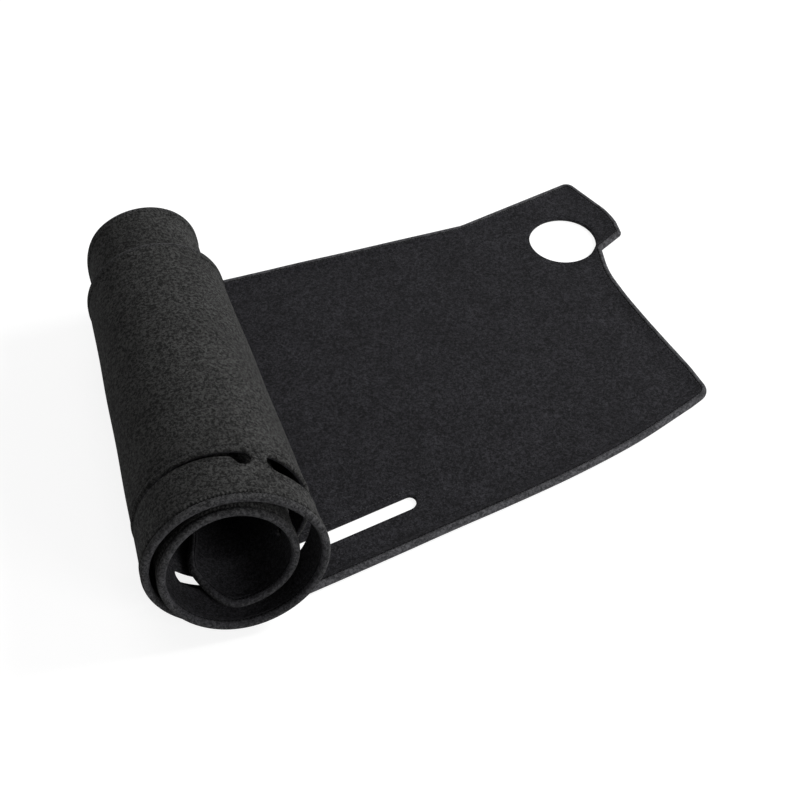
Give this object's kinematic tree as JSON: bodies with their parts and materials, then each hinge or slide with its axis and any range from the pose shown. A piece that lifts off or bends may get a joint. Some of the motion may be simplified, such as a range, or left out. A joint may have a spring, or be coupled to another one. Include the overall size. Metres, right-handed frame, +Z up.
{
  "type": "dashboard cover mat",
  "caption": "Black felt dashboard cover mat with hemmed edges, demister vent slots and a round speaker cut-out, shown partly rolled up.",
  "frame": {"origin": "middle of the bounding box, on the floor that the mat lies on", "axes": "+X along the mat's length, from the roll towards its flat end; +Y along the roll, from the windscreen edge to the cabin edge; +Z up"},
  "size_m": [0.6358, 0.52, 0.1674],
  "materials": {
    "felt": "matt needle felt"
  },
  "bodies": {
    "root": {"mat": "felt"}
  },
  "joints": []
}
